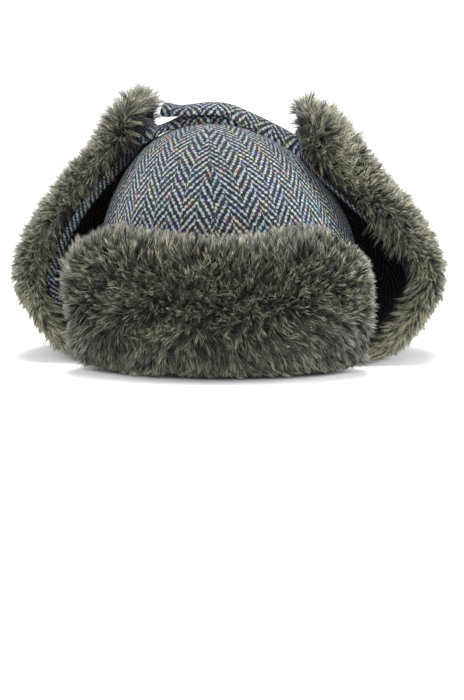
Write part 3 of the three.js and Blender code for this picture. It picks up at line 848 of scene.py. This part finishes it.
# Strands stand in tufts that share a leader's lean, length and tint, and near the rim are made paler with
# painted light
strand = dict(
    overhang=5, spare=2.6, evenSteps=(0.7548776662466927, 0.5698402909980532), crowd=2, crowdSpan=(2, 14),
    fullShare=0.98, tuft=7, tuftPull=0.72, pullSpread=(0.5, 1.3), middlePull=0.35, tuftSwing=13, hairSwing=9,
    swirl=14, swirlCycles=5, lengths=(0.8, 1.12), tuftLengths=(0.9, 1.06), least=1.5, rootDepth=0.2,
    rootSpan=(0, 10), bend=0.55, radius=0.34, radiusSpread=(0.7, 1.25), mapWidth=0.006,
    tuftTint=0.3, drift=0.08, driftCycles=3, tintRange=(0.03, 0.97),
    hemPaintedTint=0.68, hemPaintedPale=0.55, hemSpread=0.3, hemReach=(0.12, 0.5),
)


# Strands near the floor are eased up, so that none passes through it
def aboveFloor(up):
    floor, soft = fur["floor"] * mm - hatBase[2], fur["floorSoft"] * mm
    return np.where(up < floor + soft, floor + soft * np.exp(np.minimum(up - floor - soft, 0) / soft), up)


# Evenly scattered places, thinned to a fair share for each bit of surface, with more along the edges
def scatterRoots(coat, lock, rng):
    wanted = lock["count"]
    index = np.arange(int(wanted * strand["spare"]))
    u, v = ((0.5 + index * step) % 1 for step in strand["evenSteps"])
    u = lerp(*lock["us"], u)
    v = v * (1 + strand["overhang"] / coat["length"](u))
    area = np.linalg.norm(np.cross(*surfaceSlopes(coat["surface"], u, v)), axis=1)
    nearEdge = 1 - smoothstep(coat["toEdge"](u, v), *strand["crowdSpan"])
    area = area * (1 + strand["crowd"] * nearEdge)
    full = np.quantile(area, strand["fullShare"])
    kept = np.flatnonzero(rng.uniform(0, full, len(u)) < area)[:wanted]
    return u[kept], v[kept]


# Some strands lead, and each strand follows the nearest of them
def tuftLeaders(point, rng):
    leaders = rng.permutation(len(point))[:len(point) // strand["tuft"]]
    tree = KDTree(len(leaders))
    for place, leader in enumerate(leaders):
        tree.insert(point[leader], place)
    tree.balance()
    return leaders[[tree.find(p)[1] for p in point]]


def growLock(coat, lock, seed):
    rng = np.random.default_rng(seed)
    u, v = scatterRoots(coat, lock, rng)
    count = len(u)
    point, outward, across, along = surfaceFrame(coat["surface"], u, v, coat["side"])
    leader = tuftLeaders(point, rng)

    pile = coat["pile"](u, v, True)
    aside, rise, trim = coat["comb"](u, v, rng.uniform(0, 1, count))
    swing = rng.normal(0, strand["tuftSwing"], (count, 2))[leader]
    swing = swing + rng.normal(0, strand["hairSwing"], (count, 2))
    swirl = [strand["swirl"] * waves(u, v, seed + way, strand["swirlCycles"]) for way in (1, 2)]
    aside = np.radians(aside + swing[:, 0] + swirl[0])
    rise = np.radians(rise + swing[:, 1] + swirl[1])
    pointing = unit(outward * (np.cos(aside) * np.cos(rise))[:, None] + across * np.sin(aside)[:, None]
                    + along * np.sin(rise)[:, None])
    length = pile * trim * rng.uniform(*strand["lengths"], count)
    length = length * rng.uniform(*strand["tuftLengths"], count)[leader] * mm
    sunk = strand["rootDepth"] * pile * smoothstep(coat["toSide"](u), *strand["rootSpan"]) * mm
    root = point + outward * sunk[:, None]
    reach = (length * (1 - strand["rootDepth"]) + strand["least"] * mm)[:, None]
    tip = root + pointing * reach
    middle = root + unit(outward + pointing) * reach * strand["bend"]
    pull = strand["tuftPull"] * rng.uniform(*strand["pullSpread"], count)[:, None]
    draw = (tip[leader] - tip) * pull
    tip = tip + draw
    middle = middle + draw * strand["middlePull"]
    for points in (tip, middle, root):
        points[:, 2] = aboveFloor(points[:, 2])

    hem = 1 - smoothstep(v, *strand["hemReach"])
    tint = coat["tint"] + rng.normal(0, 1, count) * (coat["spread"] + strand["hemSpread"] * hem)
    tint = tint + rng.normal(0, strand["tuftTint"], count)[leader]
    # Near the rim the strands get a higher tint and paler roots: painted light on the fringe by the rim
    tint = tint + strand["drift"] * waves(u, v, seed + 3, strand["driftCycles"]) + strand["hemPaintedTint"] * hem
    tint = np.clip(tint, *strand["tintRange"])
    return root + hatBase, middle + hatBase, tip + hatBase, tint, strand["hemPaintedPale"] * hem


# Each strand is a closed three-sided blade: a root, a ring at its bend and a tip
def strandMesh(name, root, middle, tip, tint, pale, rng):
    count = len(root)
    axis = unit(tip - root)
    sideways = unit(np.cross(axis, rng.normal(0, 1, (count, 3))))
    other = np.cross(axis, sideways)
    radius = (strand["radius"] * rng.uniform(*strand["radiusSpread"], count) * mm)[:, None]
    ring = [middle + radius * (math.cos(a) * sideways + math.sin(a) * other)
            for a in (0, 2 * math.pi / 3, 4 * math.pi / 3)]
    verts = np.stack([root, *ring, tip], axis=1)
    blade = np.array([(0, 2, 1), (0, 3, 2), (0, 1, 3), (4, 1, 2), (4, 2, 3), (4, 3, 1)])
    loops = (np.arange(count)[:, None, None] * verts.shape[1] + blade).ravel()
    mesh = bpy.data.meshes.new(name)
    mesh.vertices.add(count * verts.shape[1])
    mesh.vertices.foreach_set("co", verts.ravel())
    mesh.loops.add(len(loops))
    mesh.loops.foreach_set("vertex_index", loops.astype(np.int32))
    mesh.polygons.add(count * len(blade))
    mesh.polygons.foreach_set("loop_start", np.arange(0, len(loops), 3, dtype=np.int32))
    mesh.polygons.foreach_set("use_smooth", np.ones(count * len(blade), bool))
    mesh.update(calc_edges=True)
    width = strand["mapWidth"] * np.array([0, -1, 0, 1, 0])  # keeps a face's width on the map
    # pale moves a strand's roots up the colour ramp: painted light near the rim
    share = lerp(pale[:, None], 1, np.array([0, *[strand["bend"]] * 3, 1]))
    places = np.stack([tint[:, None] + width, share], axis=2).reshape(-1, 2)
    mesh.uv_layers.new(name="OFBake").uv.foreach_set("vector", places[loops].astype(np.float32).ravel())
    return linkPiece(name, mesh, hair)


for coat in coats:
    makeUnderlayer(coat)
    for place, lock in enumerate(coat["locks"]):
        seed = coat["seed"] + 5 * place  # a lock takes five seeds
        strands = growLock(coat, lock, seed)
        name = "fur_" + coat["name"] + "_" + lock["name"]
        finishPiece(strandMesh(name, *strands, np.random.default_rng(seed + 4)), "fur")
    print("fur grown on", coat["name"])


# Pale floor that turns up into a backdrop, and soft light, in metres and watts
studio = dict(
    halfWidth=4.0, front=3.0, back=2.5, high=3.0, bend=1.2, bendSteps=16, colour=(0.9, 0.91, 0.915, 1),
    roughness=0.8, aim=(0, 0, 0.08), world=0.55, worldColour=(0.97, 0.985, 1, 1),
    lamps=[
        dict(name="key", place=(-0.45, -1.5, 1.3), size=1.0, power=7.5),
        dict(name="sideRight", place=(-1.6, 0.35, 0.5), size=1.0, power=20),
        dict(name="sideLeft", place=(1.6, 0.35, 0.5), size=1.0, power=35),
        dict(name="top", place=(0.0, 0.3, 1.8), size=1.2, power=44),
        dict(name="low", place=(0.1, -1.6, 0.12), size=1.4, power=16),
    ],
)


def makeFloor():
    bm = bmesh.new()
    bmesh.ops.create_grid(bm, x_segments=1, y_segments=1, size=1)
    for vert in bm.verts:
        vert.co = (vert.co.x * studio["halfWidth"], studio["back"] if vert.co.y > 0 else -studio["front"], 0)
    rear = [edge for edge in bm.edges if all(vert.co.y > 0 for vert in edge.verts)]
    raised = bmesh.ops.extrude_edge_only(bm, edges=rear)
    bmesh.ops.translate(bm, verts=vertsIn(raised["geom"]), vec=(0, 0, studio["high"]))
    bmesh.ops.bevel(bm, geom=rear, offset=studio["bend"], segments=studio["bendSteps"], profile=0.5,
                    affect="EDGES", material=-1)
    for face in bm.faces:
        face.smooth = True
    mesh = bpy.data.meshes.new("floor")
    bm.to_mesh(mesh)
    bm.free()
    material, _, shader = newMaterial("paleFloor", studio["roughness"], 0)
    shader.inputs["Base Color"].default_value = studio["colour"]
    linkPiece("floor", mesh, material)


def makeLights():
    for lamp in studio["lamps"]:
        light = bpy.data.lights.new(lamp["name"], "AREA")
        light.shape = "DISK"
        light.size = lamp["size"]
        light.energy = lamp["power"]
        lampObject = bpy.data.objects.new(lamp["name"], light)
        lampObject.location = lamp["place"]
        aim = Vector(studio["aim"]) - Vector(lamp["place"])
        lampObject.rotation_euler = aim.to_track_quat("-Z", "Y").to_euler()
        bpy.context.collection.objects.link(lampObject)
    world = bpy.data.worlds.new("studio")
    world.use_nodes = True
    background = world.node_tree.nodes["Background"]
    background.inputs["Color"].default_value = studio["worldColour"]
    background.inputs["Strength"].default_value = studio["world"]
    bpy.context.scene.world = world
    bpy.context.scene.view_settings.view_transform = "Standard"


makeFloor()
makeLights()
print("studio lit")
